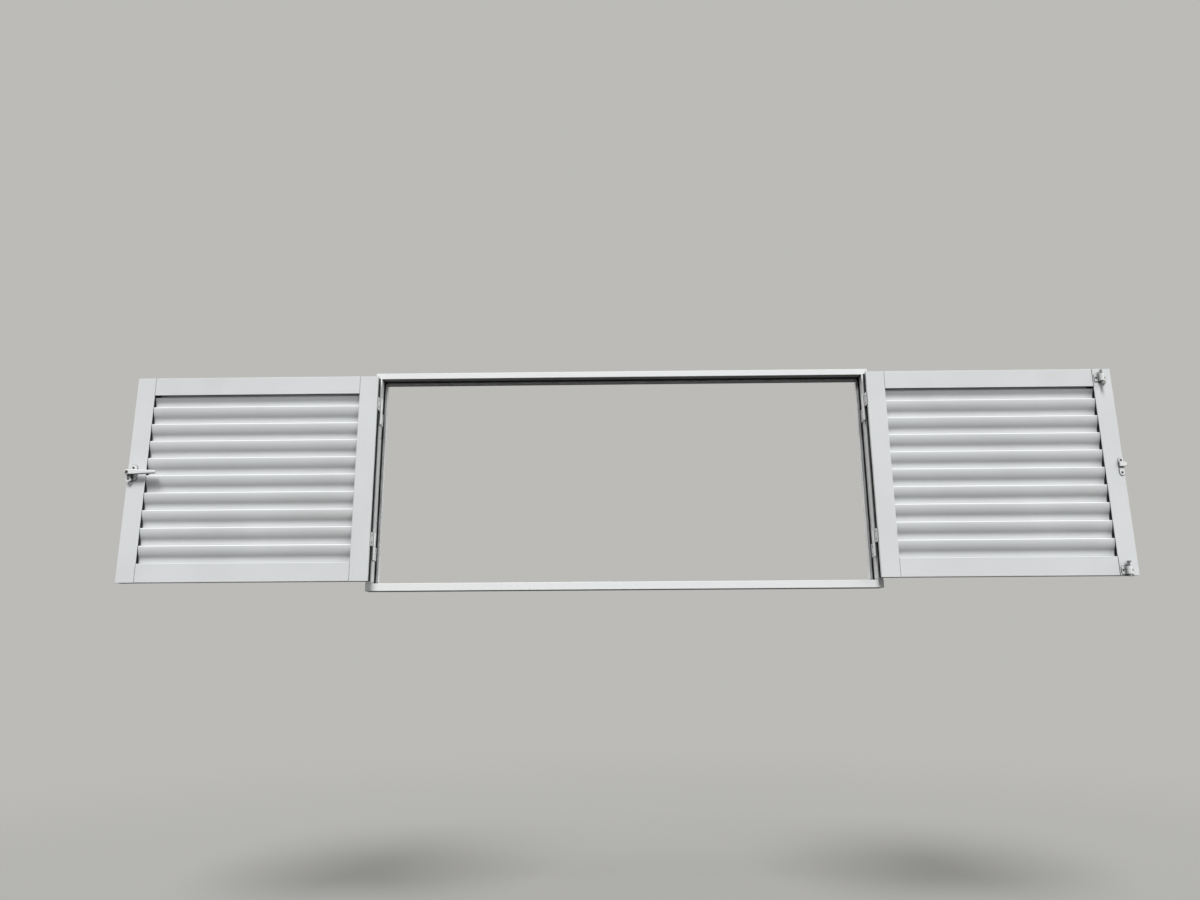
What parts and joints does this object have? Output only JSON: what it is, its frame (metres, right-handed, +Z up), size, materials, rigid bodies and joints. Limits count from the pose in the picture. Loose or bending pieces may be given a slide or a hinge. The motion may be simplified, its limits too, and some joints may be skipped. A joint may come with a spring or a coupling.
{
  "type": "pair of louvred shutters",
  "caption": "Pair of side-hung louvred shutter leaves folded back from their own window frame, with lift-off hinges, a lever catch and barrel bolts.",
  "frame": {"origin": "middle of the sill's underside, in the plane of the wall's outer face", "axes": "+X to the right seen from outdoors, +Y into the wall, +Z up"},
  "size_m": [2.9412, 0.12, 0.66],
  "materials": {
    "white_profile": "satin white powder coat",
    "white_slat": "satin white coil coat",
    "hinge_white": "white powder coat",
    "fitting_white": "white lacquer",
    "bolt_zinc": "zinc plated",
    "screw_zinc": "zinc plated",
    "cleat_aluminium": "mill finish",
    "washer_nylon": "natural nylon",
    "black_plastic": "black nylon",
    "seal_rubber": "light grey rubber"
  },
  "bodies": {
    "frame": {"sill": "white_profile", "head": "white_profile", "left_jamb": "white_profile", "right_jamb": "white_profile", "weather_seal": "seal_rubber", "frame_cleats": "cleat_aluminium", "hinge_washers": "washer_nylon", "left_bottom_hinge_pin_half": "hinge_white", "left_top_hinge_pin_half": "hinge_white", "right_bottom_hinge_pin_half": "hinge_white", "right_top_hinge_pin_half": "hinge_white", "frame_screws": "screw_zinc"},
    "left_leaf": {"left_hinge_stile": "white_profile", "left_free_stile": "white_profile", "left_top_rail": "white_profile", "left_bottom_rail": "white_profile", "left_slat_01": "white_slat", "left_slat_02": "white_slat", "left_slat_03": "white_slat", "left_slat_04": "white_slat", "left_slat_05": "white_slat", "left_slat_06": "white_slat", "left_slat_07": "white_slat", "left_slat_08": "white_slat", "left_slat_09": "white_slat", "left_slat_10": "white_slat", "left_slat_holders": "black_plastic", "left_leaf_cleats": "cleat_aluminium", "left_leaf_screws": "screw_zinc", "left_bottom_hinge_leaf_half": "hinge_white", "left_top_hinge_leaf_half": "hinge_white", "meeting_strip": "white_profile", "handle_base": "fitting_white", "lever_pivot_screw": "screw_zinc"},
    "right_leaf": {"right_hinge_stile": "white_profile", "right_free_stile": "white_profile", "right_top_rail": "white_profile", "right_bottom_rail": "white_profile", "right_slat_01": "white_slat", "right_slat_02": "white_slat", "right_slat_03": "white_slat", "right_slat_04": "white_slat", "right_slat_05": "white_slat", "right_slat_06": "white_slat", "right_slat_07": "white_slat", "right_slat_08": "white_slat", "right_slat_09": "white_slat", "right_slat_10": "white_slat", "right_slat_holders": "black_plastic", "right_leaf_cleats": "cleat_aluminium", "right_leaf_screws": "screw_zinc", "right_bottom_hinge_leaf_half": "hinge_white", "right_top_hinge_leaf_half": "hinge_white", "keeper": "fitting_white", "top_bolt_bracket": "fitting_white", "bottom_bolt_bracket": "fitting_white"},
    "lever": {"lever": "fitting_white", "lever_cam": "fitting_white"},
    "top_bolt": {"top_bolt": "bolt_zinc"},
    "bottom_bolt": {"bottom_bolt": "bolt_zinc"}
  },
  "joints": [
    {"name": "left_leaf_hinge", "type": "hinge", "parent": "frame", "child": "left_leaf", "pos_m": [-0.73, -0.016, 0.128], "axis": [0, 0, 1], "range_deg": [0, 180]},
    {"name": "right_leaf_hinge", "type": "hinge", "parent": "frame", "child": "right_leaf", "pos_m": [0.73, -0.016, 0.128], "axis": [0, 0, -1], "range_deg": [0, 180]},
    {"name": "lever_turn", "type": "hinge", "parent": "left_leaf", "child": "lever", "pos_m": [-1.4485, -0.054, 0.346], "axis": [0, 1, 0], "range_deg": [0, 90]},
    {"name": "top_bolt_slide", "type": "slide", "parent": "right_leaf", "child": "top_bolt", "axis": [0, 0, 1], "range_m": [0, 0.009]},
    {"name": "bottom_bolt_slide", "type": "slide", "parent": "right_leaf", "child": "bottom_bolt", "axis": [0, 0, -1], "range_m": [-0.008, 0.009]}
  ]
}
